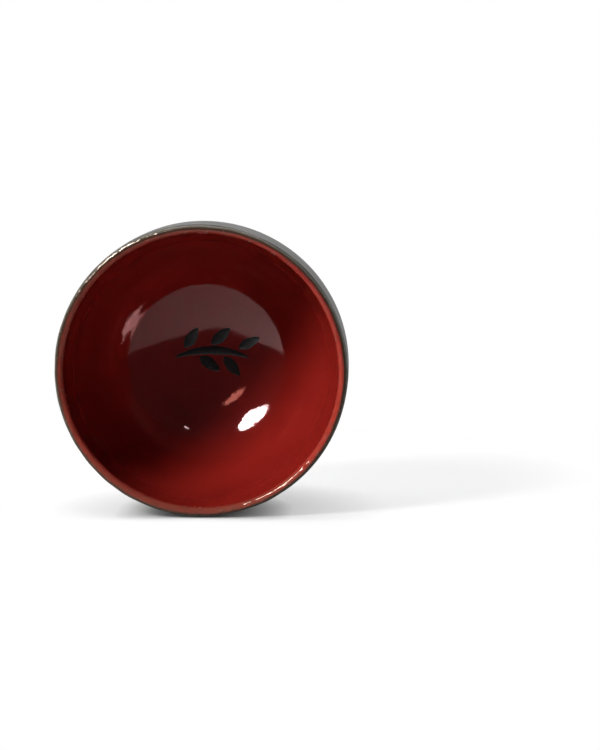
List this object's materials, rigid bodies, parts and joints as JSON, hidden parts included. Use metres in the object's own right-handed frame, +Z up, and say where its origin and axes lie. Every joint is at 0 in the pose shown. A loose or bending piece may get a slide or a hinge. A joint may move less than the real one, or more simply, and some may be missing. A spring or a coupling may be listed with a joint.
{
  "type": "tea cup",
  "caption": "Round handleless stoneware tea cup on a turned foot ring, with glossy red glaze inside and over the lip, a satin dark coat outside and a brushed sprig in the well.",
  "frame": {"origin": "centre of the foot ring's resting face, on the ground", "axes": "+Z up along the cup's axis, out of its mouth; the brushed sprig in the well reads upright from the +Y side, with -Y as its top"},
  "size_m": [0.09, 0.09, 0.055],
  "materials": {
    "dark_clay": "bare fired dark stoneware, fine grog, matt",
    "red_glaze": "deep red glaze, glossy, with pinholes and faint throwing rings",
    "thin_red_glaze": "red glaze broken thin to red-brown over the lip, glossy",
    "dark_coat": "dark grey coat, satin, with fine turning lines",
    "black_pigment": "black iron brushwork fused into the glaze, glossy"
  },
  "bodies": {
    "root": {"clay_body": "dark_clay", "foot_ring": "dark_clay", "liner_glaze": "red_glaze", "lip_glaze": "thin_red_glaze", "outer_coat": "dark_coat", "sprig_stem": "black_pigment", "sprig_leaf_1": "black_pigment", "sprig_leaf_2": "black_pigment", "sprig_leaf_3": "black_pigment", "sprig_leaf_4": "black_pigment", "sprig_leaf_5": "black_pigment"}
  },
  "joints": []
}
